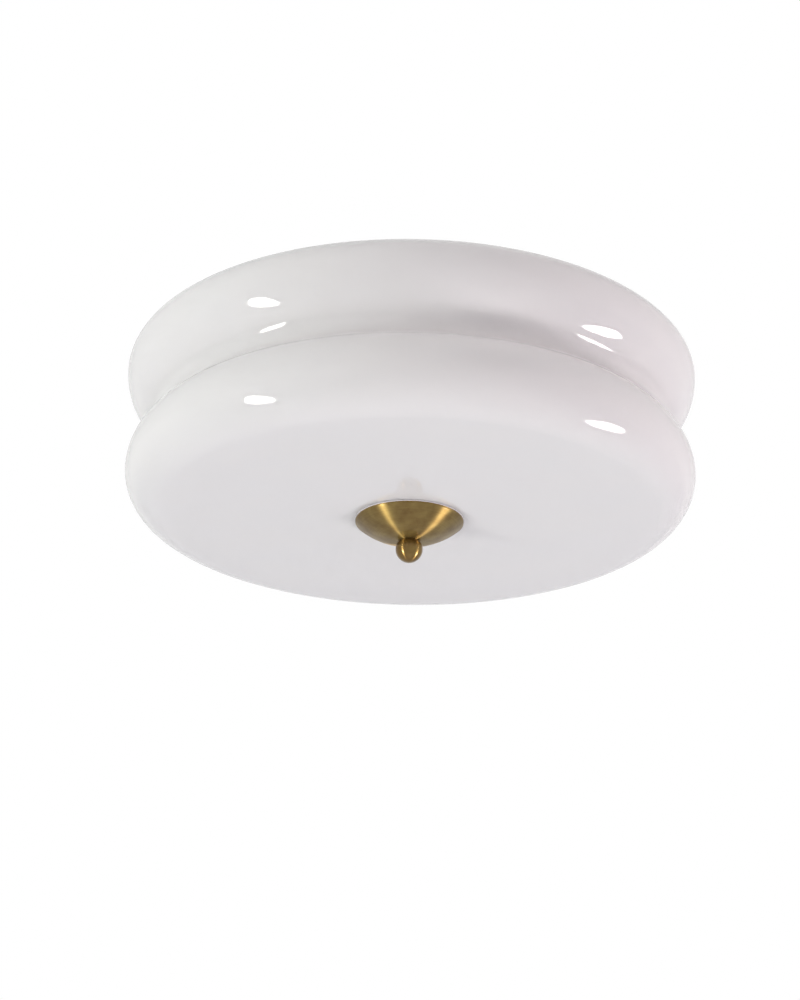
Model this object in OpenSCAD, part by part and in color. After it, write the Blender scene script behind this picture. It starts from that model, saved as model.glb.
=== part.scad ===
// Flush ceiling light: a two-tier opal glass shade hung under a steel ceiling pan by a centre rod
// and a brass cap with a ball knob, with three screw-cap bulbs lying inside it.
// Origin: middle of the face that lies on the ceiling. +Z is up, so the light hangs below zero.

/* [Shade] */
// Diameter of the lower tier
lower_d = 400; // [390:1:410]
// Diameter of the upper tier
upper_d = 404; // [396:1:412]
// Radius of the lower tier's corner, from the flat underside to its widest line
corner_r = 27; // [22:1:30]
// Radius of the lower tier above its widest line
lower_arc_r = 33; // [30:1:38]
// Radius of the waist between the tiers
waist_r = 11; // [8:1:18]
// Radius of the upper tier below its widest line
upper_arc_r = 34; // [30:1:38]
// Radius of the upper tier's shoulder
shoulder_r = 19; // [14:1:22]
// Height of the upper tier's widest line above the underside
upper_line_h = 101; // [94:1:106]
// Slope of the crown between the shoulder and the rim, in degrees
crown_slope = 6; // [3:1:9]
// Thickness of the glass
glass_wall = 3.5; // [3:0.1:4.5]
// Diameter of the opening in the top
opening_d = 316; // [312:1:322]
// Width of the flat ground rim around the opening
rim_land = 3; // [2:0.5:4]
// Diameter of the hole in the underside
glass_hole_d = 13.4; // [13.2:0.1:16]

/* [Finial] */
// Diameter of the brass cap
cap_d = 76; // [68:1:84]
// Radius of the cap's dome
dome_r = 57.5; // [52:0.5:66]
// Height of the straight lip at the cap's rim
cap_lip = 1.5; // [1:0.1:3]
// Thickness of the cap's sheet
cap_wall = 1.2; // [0.8:0.1:1.6]
// Diameter of the flat seat in the middle of the cap
cap_seat_d = 14.4; // [13:0.1:17]
// Thickness of the clear seal under the cap's rim
cap_seal_t = 0.7; // [0.5:0.1:1.5]
// Width of that seal
cap_seal_w = 3.4; // [2.5:0.1:6]
// Diameter of the ball knob
ball_d = 19; // [18:0.5:22]
// Height of the ball's centre below the cap's seat
ball_drop = 5.9; // [5.5:0.1:7.5]
// Diameter of the neck above the ball
neck_d = 12.6; // [12.4:0.1:14]
// Height of that neck
neck_h = 1; // [0.6:0.1:1.4]
// Depth of the threaded hole in the knob, from its top
knob_hole_h = 11.6; // [9:0.1:12]

/* [Rod and nuts] */
// Diameter of the threaded rod, fine pitch of 1 mm
rod_d = 10; // [9:0.1:10.2]
// Diameter of the hole along the rod
rod_bore_d = 7; // [5:0.1:7.5]
// Length of rod above the pan's floor
rod_above = 9; // [7:0.5:14]
// Space left between the rod's end and the bottom of the knob's hole
rod_end_gap = 1; // [0.6:0.1:2]
// Width across the flats of the rod nuts
rod_nut_af = 14; // [13:0.5:17]
// Height of a rod nut
rod_nut_h = 4; // [3:0.5:5]
// Diameter of the rod washers
rod_washer_d = 20; // [16:0.5:26]
// Thickness of a rod washer
rod_washer_t = 1.2; // [0.8:0.1:2]
// Diameter of the bush's flange on the glass
bush_flange_d = 22; // [18:0.5:30]
// Thickness of the bush's flange
bush_flange_t = 1.5; // [1:0.1:3]

/* [Ceiling pan] */
// Diameter of the pan's body
pan_d = 296; // [284:1:300]
// Diameter of the flange that lies on the ceiling
flange_d = 340; // [332:1:344]
// Depth of the pan
pan_h = 26; // [24:1:30]
// Thickness of the pan's sheet
pan_wall = 1; // [0.8:0.1:1.2]
// Inner radius of the pan's bends
pan_bend_r = 2.5; // [1.5:0.5:4]
// Thickness of the foam gasket between flange and glass
gasket_t = 4; // [3:0.5:6]
// Width of the foam gasket
gasket_w = 10; // [7:0.5:11]

/* [Mounting bar] */
// Length of the bar between the centres of its round ends
bar_l = 190; // [184:1:210]
// Width of the bar
bar_w = 25; // [18:1:30]
// Thickness of the bar
bar_t = 2; // [1.5:0.1:3]
// Distance between the middles of the two screw slots
slot_gap = 60; // [50:1:80]
// Length of a screw slot, end to end
slot_l = 22; // [14:1:26]
// Width of a screw slot
slot_w = 5; // [4:0.1:6]
// Distance between the two studs
stud_gap = 170; // [160:1:176]
// Diameter of a stud
stud_d = 4; // [3:0.1:5]
// Length of a stud below the pan's floor
stud_out = 6; // [5:0.5:8]
// Width across the flats of the cap nuts
cap_nut_af = 7; // [7:0.5:9]

/* [Lampholders] */
// Distance from the rod's axis to the back of a lampholder
holder_back_r = 24; // [23:0.5:25]
// Height of the bulbs' axes above the shade's underside
lamp_h = 55; // [50:1:58]
// Diameter of a lampholder's base
holder_base_d = 38; // [36:0.5:39]
// Diameter of a lampholder's barrel
holder_barrel_d = 41; // [38:0.5:42]
// Length of a lampholder
holder_l = 44; // [43:0.5:45]
// Depth of the base, up to the floor of the socket
holder_floor = 16; // [14:0.5:17]
// Thickness of the threaded sleeve
sleeve_t = 0.8; // [0.5:0.1:1.2]
// Width of a bracket
bracket_w = 22; // [16:1:23]
// Thickness of a bracket
bracket_t = 1.5; // [1.2:0.1:2.5]
// Length of a bracket's foot along the pan
foot_l = 30; // [28:1:36]
// Distance from the lamp axis to a holder screw
holder_screw_off = 11; // [9:0.5:13]
// Diameter of the holder screws
holder_screw_d = 4; // [3:0.1:4.2]
// Diameter of the rivets
rivet_d = 3.2; // [2.4:0.1:4]

/* [Bulbs] */
// Diameter of a bulb
bulb_d = 45; // [43:1:48]
// Length of a bulb, contact to crown
bulb_l = 80; // [78:1:84]
// Thickness of the bulb's glass
bulb_wall = 0.8; // [0.6:0.1:1.2]
// Outer diameter of the bulb's screw cap over its thread
screw_cap_d = 26.4; // [26:0.1:26.6]
// Pitch of that thread
screw_cap_pitch = 3.6; // [3.2:0.1:3.8]

/* [Wiring] */
// Length of the terminal block, across its three poles
block_l = 32; // [30:0.5:36]
// Width of the terminal block, along the wires
block_w = 16; // [15:0.5:18]
// Height of the terminal block
block_h = 14; // [13:0.5:16]
// Distance between the poles
pole_gap = 10; // [9.6:0.1:10.4]
// Diameter of the insulated wires
wire_d = 2.2; // [1.6:0.1:2.4]
// Diameter of the hole in the cable grommet
grommet_bore_d = 8; // [6:0.5:9]
// Diameter of the grommet's hole in the pan
grommet_seat_d = 14; // [13:0.5:18]
// Distance from the rod's axis to the grommet
grommet_r = 100; // [90:1:112]

/* [Clearances] */
// Gap between a soft seal and the glass
soft_gap = 0.3; // [0.2:0.05:0.5]
// Radial gap of a running thread
thread_gap = 0.08; // [0.04:0.01:0.1]
// Radial gap of a piece that is fixed in a hole
fixed_gap = 0.1; // [0.05:0.01:0.2]
// Radial gap around a screw or a rod that passes through a plate
pass_gap = 0.25; // [0.2:0.05:0.5]
// Gap between the cap's seat and the knob
seat_gap = 0.1; // [0.05:0.01:0.2]

/* [Hidden] */
$fn = 96;

// Shade: centres of the arcs of its half profile, as [radius, height above the underside]
lower_r = lower_d / 2;
upper_r = upper_d / 2;
opening_r = opening_d / 2;
corner_c = [lower_r - corner_r, corner_r];
lower_c = [lower_r - lower_arc_r, corner_r];
upper_c = [upper_r - upper_arc_r, upper_line_h];
shoulder_c = [upper_r - shoulder_r, upper_line_h];
// The waist's circle touches the arcs below and above it
waist_from_lower = lower_arc_r + waist_r;
waist_from_upper = upper_arc_r + waist_r;
tier_line = upper_c - lower_c;
tier_dist = norm(tier_line);
along = (waist_from_lower ^ 2 - waist_from_upper ^ 2 + tier_dist ^ 2) / (2 * tier_dist);
aside = sqrt(waist_from_lower ^ 2 - along ^ 2);
tier_dir = tier_line / tier_dist;
waist_c = lower_c + along * tier_dir + aside * [tier_dir[1], -tier_dir[0]];
to_waist_low = (waist_c - lower_c) / waist_from_lower;
to_waist_up = (waist_c - upper_c) / waist_from_upper;
crown_dir = [sin(crown_slope), cos(crown_slope)];
crown_start = shoulder_c + shoulder_r * crown_dir;
shade_h = crown_start[1] + (crown_start[0] - opening_r - rim_land) * tan(crown_slope);

// Heights in the light, all measured from the ceiling
underside_z = -(shade_h + gasket_t + pan_wall);
floor_top = -pan_h + pan_wall;
floor_z = -pan_h;
lamp_z = underside_z + lamp_h;

// Finial: the cap's rim hangs under the seal, the knob under the cap's seat
cap_r = cap_d / 2;
cap_z = underside_z - soft_gap - cap_seal_t;
dome_c_h = sqrt(dome_r ^ 2 - cap_r ^ 2);
cap_seat_r = cap_seat_d / 2;
cap_depth = cap_lip + sqrt(dome_r ^ 2 - cap_seat_r ^ 2) - dome_c_h;
seat_z = cap_z - cap_depth;
knob_top = seat_z - seat_gap;
ball_z = seat_z - ball_drop;
ball_r = ball_d / 2;
knob_hole_z = knob_top - knob_hole_h;
rod_r = rod_d / 2;
rod_bottom = knob_hole_z + rod_end_gap;
rod_top = floor_top + rod_above;
pass_r = rod_r + pass_gap;

// Mounting bar
stud_r = stud_d / 2;
stud_collar_t = 1.5;
cap_nut_h = stud_out + 2.5;

// Lampholders and bulbs: lengths run outwards from a lampholder's back
lamp_angles = [90, 210, 330];
screw_cap_r = screw_cap_d / 2;
sleeve_in = screw_cap_r + pass_gap;
sleeve_out = sleeve_in + sleeve_t;
socket_r = sleeve_out + fixed_gap;
sleeve_start = holder_floor + 2;
contact_w = 5;
contact_back = 8;
contact_h = 2.3;
bulb_start = holder_floor + contact_h + 0.2;
bulb_tip_h = 1.5;
cap_skirt = 5;
thread_start = 6;
thread_turns = 4;
collar_start = thread_start + thread_turns * screw_cap_pitch + 1;
cap_end = collar_start + 5.5;
collar_wall = 0.4;
collar_r = screw_cap_r + 0.1;
neck_r = collar_r - collar_wall - fixed_gap;
thread_depth = 1;
thread_root = screw_cap_r - thread_depth;
cap_bore = thread_root - 0.8;
bulb_r = bulb_d / 2;
bulb_c = bulb_l - bulb_r;
neck_end = cap_end + 3;
// Radius of the hollow curve between the bulb's neck and its globe
flare_r = (neck_r ^ 2 + (bulb_c - neck_end) ^ 2 - bulb_r ^ 2) / (2 * (bulb_r - neck_r));
flare_c = [neck_r + flare_r, neck_end];
flare_top = flare_c + ([0, bulb_c] - flare_c) * flare_r / (flare_r + bulb_r);

// Brackets
bracket_bend_r = 1.5;
leg_bottom = lamp_z - holder_screw_off - 5;
rivet_r = rivet_d / 2;
rivet_places = [14, 24];
holder_screw_r = holder_screw_d / 2;
holder_hole_h = 9;

// Wire entries in a lampholder's back, to the sides of the lamp axis and above or below it
entry_side = 14;
entry_up = 3.2;
entry_r = wire_d / 2 + 0.4;
entry_depth = 7;

// Terminal block, under the pan's floor between two of the bulbs
block_y = -62;
pole_z = floor_z - block_h + 6;
tube_bore_r = wire_d / 2 + 0.4;
tube_r = 2.9;
tube_l = block_w - 3;
terminal_screw_y = 4;
terminal_screw_r = 1.3;
block_screw_r = 1.5;
block_head_h = 2;
earth_pos = [-28, -50];
earth_screw_r = 2;
tag_t = 0.8;
tag_barrel_y = [5, 11];
tag_barrel_r = wire_d / 2 + 0.7;
grommet_flange = 2.5;
grommet_lip = 3.5;

// Place in the row frame of a point beside a lampholder's axis: r from the rod, side and up from the axis
function beside_lamp(i, r, side, up) =
    let (a = lamp_angles[i])
    [r * cos(a) - side * sin(a), r * sin(a) + side * cos(a), lamp_z + up];
// A wire's last points at a lampholder: before the entry, in its mouth and at its bottom
function wire_in(i, side, up) =
    [for (depth = [-6, 0, entry_depth - 1]) beside_lamp(i, holder_back_r + depth, side, up)];
function wire_out(i, side, up) =
    [for (depth = [entry_depth - 1, 0, -6]) beside_lamp(i, holder_back_r + depth, side, up)];
// A wire's first points at a pole of the block
function pole_out(x) = [for (y = [1.5, block_w / 2, block_w / 2 + 4]) [x, block_y + y, pole_z]];
function mirrored(points) = [for (p = points) [-p[0], p[1], p[2]]];

// Routes of the wires, from the block to the first lampholder and on to the next two
live_routes = [
    [
        each pole_out(0), [-1, -38, -37], [-2, -27, -46], [-4, -21, -60],
        each wire_in(1, entry_side, entry_up)
    ],
    [
        each wire_out(1, entry_side, -entry_up),
        [-5.5, -16, -77], [-8, -8, -77], [-11.5, 1, -77], [-13.5, 10, -77],
        each wire_in(0, entry_side, -entry_up)
    ],
    [
        each wire_out(0, entry_side, entry_up),
        [-11, 12.5, -65], [-2, 11, -63], [8, 9.5, -63], [16, 5, -66],
        each wire_in(2, entry_side, entry_up)
    ]
];
neutral_routes = [
    [
        each pole_out(pole_gap), [7, -38, -37], [4, -27, -46], [4, -21, -60],
        each wire_in(2, -entry_side, entry_up)
    ],
    mirrored(live_routes[1]),
    [
        each wire_out(0, -entry_side, entry_up),
        [11, 12.5, -70], [2, 11, -70], [-8, 9.5, -70], [-16, 5, -70],
        each wire_in(1, -entry_side, entry_up)
    ]
];
earth_route = [
    each pole_out(-pole_gap), [-12, -41, -34], [-19, -34, -31], [-26, -33, -29],
    [earth_pos[0], earth_pos[1] + tag_barrel_y[1] + 2, floor_z - 2],
    [earth_pos[0], earth_pos[1] + (tag_barrel_y[0] + tag_barrel_y[1]) / 2, floor_z - 2]
];

// A smooth curve through the points, two steps from each point to the next
function curve_point(a, b, c, d, t) =
    0.5 * (2 * b + (c - a) * t + (2 * a - 5 * b + 4 * c - d) * t ^ 2 + (3 * b - a - 3 * c + d) * t ^ 3);
function curve(p) =
    let (n = len(p))
    concat(
        [
            for (i = [0:n - 2], t = [0, 0.5])
                curve_point(p[max(i - 1, 0)], p[i], p[i + 1], p[min(i + 2, n - 1)], t)
        ],
        [p[n - 1]]
    );
function unit(v) = v / norm(v);
function heading(p, i) = unit(p[min(i + 1, len(p) - 1)] - p[max(i - 1, 0)]);
function square_to(v, t) = unit(v - (v * t) * t);
// Side direction of each ring, carried along the route without twist
function sides(p, i, last) =
    i == len(p) ? [] : let (s = square_to(last, heading(p, i))) concat([s], sides(p, i + 1, s));

module tube_along(route, r) {
    edges = 8;
    p = curve(route);
    s = sides(p, 0, [0.3, 0.2, 1]);
    points = [
        for (i = [0:len(p) - 1], k = [0:edges - 1])
            let (t = heading(p, i), a = 360 * k / edges)
            p[i] + r * (cos(a) * s[i] + sin(a) * cross(t, s[i]))
    ];
    last = (len(p) - 1) * edges;
    faces = concat(
        [
            for (i = [0:len(p) - 2], k = [0:edges - 1])
                [i * edges + k, (i + 1) * edges + k, i * edges + (k + 1) % edges]
        ],
        [
            for (i = [0:len(p) - 2], k = [0:edges - 1])
                [i * edges + (k + 1) % edges, (i + 1) * edges + k, (i + 1) * edges + (k + 1) % edges]
        ],
        [for (k = [1:edges - 2]) [0, k, k + 1]],
        [for (k = [1:edges - 2]) [last, last + k + 1, last + k]]
    );
    polyhedron(points, faces);
}

// Quarter of a disc: qx and qy are 1 or -1 and name the quarter
module quarter(c, r, qx, qy) {
    intersection() {
        translate(c) circle(r);
        translate(c + [qx > 0 ? 0 : -r, qy > 0 ? 0 : -r]) square(r);
    }
}

// Quarter of a ring, the bend in a folded sheet
module bend(c, r, t, qx, qy) {
    difference() {
        quarter(c, r + t, qx, qy);
        translate(c) circle(r);
    }
}

module tube(r_out, r_in, h) {
    difference() {
        cylinder(r = r_out, h = h);
        translate([0, 0, -1]) cylinder(r = r_in, h = h + 2);
    }
}

// Hexagon with its two rims turned off, standing on z = 0
module hexagon(af, h) {
    corner = af / 2 / cos(30);
    cut = (corner - af / 2) * 0.6;
    intersection() {
        cylinder(r = corner, h = h, $fn = 6);
        rotate_extrude() polygon([
            [0, 0], [corner - 2 * cut, 0], [corner, cut], [corner, h - cut], [corner - 2 * cut, h], [0, h]
        ]);
    }
}

// Slotted screw: the head lies below z = 0 and the shank goes up
module screw(r, l, head_r, head_h) {
    slot = 0.8;
    difference() {
        union() {
            cylinder(r = r, h = l);
            rotate_extrude() polygon([
                [0, 0], [head_r, 0], [head_r, -head_h * 0.6], [head_r * 0.75, -head_h], [0, -head_h]
            ]);
        }
        translate([-head_r - 1, -slot / 2, -head_h - 1]) cube([2 * head_r + 2, slot, head_h * 0.4 + 1]);
    }
}

// Carries a drawing to lampholder i: its z axis is the lamp axis, from the holder's back outwards
module at_lamp(i) {
    rotate([0, 0, lamp_angles[i]]) translate([holder_back_r, 0, lamp_z]) rotate([0, 90, 0]) children();
}

module at_bulb(i) {
    at_lamp(i) translate([0, 0, bulb_start]) children();
}

// Half profile of the shade, filled, t inside its outer surface
module shade_outline(t) {
    crown = shoulder_c + (shoulder_r - t) * crown_dir;
    difference() {
        union() {
            polygon([
                [0, t],
                [corner_c[0], t],
                [lower_r - t, corner_r],
                lower_c + (lower_arc_r - t) * to_waist_low,
                upper_c + (upper_arc_r - t) * to_waist_up,
                [upper_r - t, upper_line_h],
                crown,
                [0, crown[1] + crown[0] * tan(crown_slope)]
            ]);
            quarter(corner_c, corner_r - t, 1, -1);
            quarter(lower_c, lower_arc_r - t, 1, 1);
            quarter(upper_c, upper_arc_r - t, 1, -1);
            quarter(shoulder_c, shoulder_r - t, 1, 1);
        }
        translate(waist_c) circle(waist_r + t);
    }
}

// Opal glass shade, blown in one piece and open at the top
module shade() {
    above = 100;
    color("white") translate([0, 0, underside_z]) rotate_extrude($fn = 180) difference() {
        shade_outline(0);
        shade_outline(glass_wall);
        translate([0, corner_r]) square([opening_r, shade_h + above]);
        translate([0, shade_h]) square([upper_r, above]);
        translate([0, -1]) square([glass_hole_d / 2, glass_wall + 2]);
    }
}

// Nylon bush that keeps the rod off the edge of the glass
module shade_bush() {
    barrel_r = glass_hole_d / 2 - fixed_gap;
    color("gainsboro") translate([0, 0, underside_z]) rotate_extrude() difference() {
        union() {
            square([barrel_r, glass_wall]);
            translate([0, glass_wall]) square([bush_flange_d / 2, bush_flange_t]);
        }
        translate([0, -1]) square([pass_r, glass_wall + bush_flange_t + 2]);
    }
}

// Clear silicone ring between the cap's rim and the glass
module cap_seal() {
    color("lightgrey") translate([0, 0, cap_z])
        tube(cap_r - fixed_gap, cap_r - fixed_gap - cap_seal_w, cap_seal_t);
}

// Spun brass cap: a shallow dome with a straight lip
module finial_cap() {
    inner_r = dome_r - cap_wall;
    centre = [0, dome_c_h - cap_lip];
    deep = dome_r + 2;
    color("darkgoldenrod") translate([0, 0, cap_z]) rotate_extrude() difference() {
        intersection() {
            translate(centre) circle(dome_r);
            translate([0, -cap_depth]) square([cap_r, cap_depth]);
        }
        intersection() {
            translate(centre) circle(inner_r);
            translate([0, -cap_depth + cap_wall]) square([cap_r - cap_wall, cap_depth]);
        }
        translate([0, -deep]) square([pass_r, deep]);
    }
}

// Brass ball knob with a blind threaded hole
module finial_knob() {
    ball_h = ball_z - knob_hole_z;
    neck_z = knob_top - neck_h;
    color("goldenrod") rotate_extrude() difference() {
        union() {
            intersection() {
                translate([0, ball_z]) circle(ball_r);
                translate([0, ball_z - ball_d]) square([ball_r, neck_z - ball_z + ball_d]);
            }
            translate([0, ball_z]) square([neck_d / 2, knob_top - ball_z]);
        }
        translate([0, ball_z - ball_h]) square([rod_r + thread_gap, knob_top - ball_z + ball_h + 1]);
    }
}

// Hollow threaded rod, fixed in the pan and carrying the shade
module centre_rod() {
    color("silver") translate([0, 0, rod_bottom]) tube(rod_r, rod_bore_d / 2, rod_top - rod_bottom);
}

module rod_nut(z) {
    translate([0, 0, z]) difference() {
        hexagon(rod_nut_af, rod_nut_h);
        translate([0, 0, -1]) cylinder(r = rod_r + thread_gap, h = rod_nut_h + 2);
    }
}

// One nut above the pan's floor and one below it
module rod_nuts() {
    color("silver") {
        rod_nut(floor_top + rod_washer_t);
        rod_nut(floor_z - rod_washer_t - rod_nut_h);
    }
}

module rod_washers() {
    color("lightsteelblue") {
        translate([0, 0, floor_top]) tube(rod_washer_d / 2, pass_r, rod_washer_t);
        translate([0, 0, floor_z - rod_washer_t]) tube(rod_washer_d / 2, pass_r, rod_washer_t);
    }
}

// Half profile of the pan: floor, wall and flange joined by two bends
module pan_outline() {
    r = pan_d / 2;
    low = [r - pan_wall - pan_bend_r, floor_top + pan_bend_r];
    top = [r + pan_bend_r, -pan_wall - pan_bend_r];
    translate([0, floor_z]) square([low[0], pan_wall]);
    bend(low, pan_bend_r, pan_wall, 1, -1);
    translate([r - pan_wall, low[1]]) square([pan_wall, top[1] - low[1]]);
    bend(top, pan_bend_r, pan_wall, -1, 1);
    translate([top[0], -pan_wall]) square([flange_d / 2 - top[0], pan_wall]);
}

module floor_hole(x, y, r) {
    translate([x, y, floor_z - 1]) cylinder(r = r, h = pan_wall + 2);
}

// Pressed steel pan with its flange on the ceiling
module ceiling_pan() {
    color("whitesmoke") difference() {
        rotate_extrude($fn = 180) pan_outline();
        floor_hole(0, 0, pass_r);
        for (side = [-1, 1]) floor_hole(side * stud_gap / 2, 0, stud_r + pass_gap);
        for (side = [-1, 1]) floor_hole(side * pole_gap / 2, block_y, block_screw_r + fixed_gap);
        floor_hole(earth_pos[0], earth_pos[1], earth_screw_r + fixed_gap);
        floor_hole(0, -grommet_r, grommet_seat_d / 2);
        for (a = lamp_angles, x = rivet_places)
            rotate([0, 0, a]) floor_hole(holder_back_r + x, 0, rivet_r + fixed_gap);
    }
}

// Foam ring that the glass rim is pressed against
module pan_gasket() {
    middle = opening_r + rim_land;
    color("dimgray") translate([0, 0, -pan_wall - gasket_t + soft_gap])
        tube(middle + gasket_w / 2, middle - gasket_w / 2, gasket_t - soft_gap);
}

// Flat bar with two slots for the ceiling screws
module mounting_bar() {
    slot_run = slot_l - slot_w;
    color("silver") translate([0, 0, -bar_t]) linear_extrude(bar_t) difference() {
        union() {
            square([bar_l, bar_w], center = true);
            for (side = [-1, 1]) translate([side * bar_l / 2, 0]) circle(d = bar_w);
        }
        for (side = [-1, 1]) translate([side * slot_gap / 2, 0]) {
            square([slot_run, slot_w], center = true);
            for (end = [-1, 1]) translate([end * slot_run / 2, 0]) circle(d = slot_w);
        }
        for (side = [-1, 1]) translate([side * stud_gap / 2, 0]) circle(stud_r + fixed_gap);
    }
}

// Two studs pressed into the bar
module bar_studs() {
    flush = 0.3;
    end_z = floor_z - stud_out;
    color("lightsteelblue") for (side = [-1, 1]) translate([side * stud_gap / 2, 0, 0]) {
        translate([0, 0, end_z]) cylinder(r = stud_r, h = -flush - end_z);
        translate([0, 0, -bar_t - stud_collar_t]) cylinder(r = 2 * stud_r, h = stud_collar_t);
    }
}

// Two cap nuts that hold the pan up
module stud_nuts() {
    dome = cap_nut_af / 2;
    skirt = cap_nut_h - dome + 0.4;
    color("silver") for (side = [-1, 1]) translate([side * stud_gap / 2, 0, floor_z]) difference() {
        union() {
            translate([0, 0, -skirt]) hexagon(cap_nut_af, skirt);
            translate([0, 0, -cap_nut_h + dome]) sphere(dome - 0.2);
        }
        translate([0, 0, -stud_out - 0.5]) cylinder(r = stud_r + thread_gap, h = stud_out + 1.5);
    }
}

// Folded strip: a leg behind the lampholder and a foot under the pan
module bracket(i) {
    low_z = leg_bottom;
    c = [holder_back_r + bracket_bend_r, floor_z - bracket_t - bracket_bend_r];
    color("gainsboro") rotate([0, 0, lamp_angles[i]]) difference() {
        translate([0, bracket_w / 2, 0]) rotate([90, 0, 0]) linear_extrude(bracket_w) {
            translate([holder_back_r - bracket_t, low_z]) square([bracket_t, c[1] - low_z]);
            bend(c, bracket_bend_r, bracket_t, -1, 1);
            translate([c[0], floor_z - bracket_t])
                square([foot_l - bracket_bend_r, bracket_t]);
        }
        for (x = rivet_places)
            translate([holder_back_r + x, 0, floor_z - bracket_t - 1])
                cylinder(r = rivet_r + fixed_gap, h = bracket_t + 2);
        for (up = [-1, 1])
            translate([holder_back_r - bracket_t - 1, 0, lamp_z + up * holder_screw_off])
                rotate([0, 90, 0]) cylinder(r = holder_screw_r + fixed_gap, h = bracket_t + 2);
    }
}

// Two rivets through each foot and the pan
module bracket_rivets() {
    head_h = 1;
    low_z = floor_z - bracket_t - head_h;
    color("silver") for (a = lamp_angles, x = rivet_places)
        rotate([0, 0, a]) translate([holder_back_r + x, 0, 0]) {
            translate([0, 0, low_z]) cylinder(r1 = 1.3 * rivet_r, r2 = 2 * rivet_r, h = head_h);
            translate([0, 0, low_z]) cylinder(r = rivet_r, h = floor_top + head_h - low_z);
            translate([0, 0, floor_top]) cylinder(r = 1.6 * rivet_r, h = head_h);
        }
}

// Porcelain lampholder: base with wire entries, and a barrel around the socket
module lampholder(i) {
    edge = 1.5;
    base_r = holder_base_d / 2;
    barrel_r = holder_barrel_d / 2;
    color("ivory") at_lamp(i) difference() {
        rotate_extrude() polygon([
            [0, 0], [base_r - edge, 0], [base_r, edge], [base_r, holder_floor - 1], [barrel_r, holder_floor + 1],
            [barrel_r, holder_l - edge], [barrel_r - edge, holder_l], [0, holder_l]
        ]);
        translate([0, 0, holder_floor]) cylinder(r = socket_r, h = holder_l);
        for (x = [-1, 1]) translate([x * holder_screw_off, 0, -1])
            cylinder(r = holder_screw_r + fixed_gap, h = holder_hole_h + 1);
        for (y = [-1, 1], x = [-1, 1]) translate([x * entry_up, y * entry_side, -1])
            cylinder(r = entry_r, h = entry_depth + 1);
    }
}

// Two screws through each leg into the lampholder's base
module holder_screws() {
    reach = bracket_t + holder_hole_h - 1;
    color("silver") for (i = [0:2], x = [-1, 1])
        at_lamp(i) translate([x * holder_screw_off, 0, -bracket_t])
            screw(holder_screw_r, reach, 1.8 * holder_screw_r, 2.2);
}

// Threaded metal sleeve in the socket, shown with a plain bore
module holder_sleeve(i) {
    color("goldenrod") at_lamp(i) translate([0, 0, sleeve_start]) rotate_extrude() difference() {
        square([sleeve_out, holder_l - 1.5 - sleeve_start]);
        translate([0, sleeve_t]) square([sleeve_in, holder_l]);
        translate([0, -1]) square([sleeve_in - 4, holder_l]);
    }
}

// Springy tongue on the socket's floor that meets the bulb's contact
module holder_contact(i) {
    t = 0.5;
    color("orange") at_lamp(i) translate([0, contact_w / 2, holder_floor]) rotate([90, 0, 0])
        linear_extrude(contact_w) polygon([
            [-contact_back, 0], [-4, 0], [-1.2, contact_h - t], [2.5, contact_h - t],
            [2.5, contact_h], [-1.5, contact_h], [-4.3, t], [-contact_back, t]
        ]);
}

// Half profile of the bulb's glass, filled, t inside its outer surface
module bulb_outline(t) {
    difference() {
        union() {
            polygon([
                [0, collar_start], [neck_r - t, collar_start], [neck_r - t, neck_end],
                flare_c + (flare_top - flare_c) * (flare_r + t) / flare_r, [0, bulb_c]
            ]);
            intersection() {
                translate([0, bulb_c]) circle(bulb_r - t);
                translate([0, neck_end]) square([bulb_r, bulb_l]);
            }
        }
        translate(flare_c) circle(flare_r + t);
    }
}

// Opal bulb, without its screw cap
module bulb(i) {
    color("snow") at_bulb(i) rotate_extrude() difference() {
        bulb_outline(0);
        bulb_outline(bulb_wall);
        translate([0, collar_start - 1]) square([neck_r - bulb_wall, neck_end - collar_start]);
    }
}

// Metal screw cap; its thread is drawn as rings
module bulb_cap(i) {
    thread = [
        for (k = [0:thread_turns - 1], up = [0, 0.5])
            [up > 0 ? screw_cap_r : thread_root, thread_start + (k + up) * screw_cap_pitch]
    ];
    thread_end = thread_start + thread_turns * screw_cap_pitch;
    color("lightgray") at_bulb(i) rotate_extrude() difference() {
        polygon(concat(
            [[0, cap_skirt], [thread_root - 0.5, cap_skirt]],
            thread,
            [[thread_root, thread_end], [collar_r, collar_start - 0.5], [collar_r, cap_end], [0, cap_end]]
        ));
        translate([0, cap_skirt - 1]) square([cap_bore, cap_end]);
        translate([0, collar_start]) square([neck_r + fixed_gap, cap_end]);
    }
}

// Black glass between the screw cap and the contact
module bulb_insulator(i) {
    r = cap_bore - fixed_gap;
    color("#222222") at_bulb(i) rotate_extrude()
        polygon([[0, bulb_tip_h], [5, bulb_tip_h], [r, cap_skirt], [r, cap_skirt + 1.5], [0, cap_skirt + 1.5]]);
}

// Soldered contact at the bulb's end
module bulb_contact(i) {
    color("darkgray") at_bulb(i) rotate_extrude()
        polygon([[0, 0], [3, 0], [4.5, 1], [4.5, bulb_tip_h], [0, bulb_tip_h]]);
}

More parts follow.
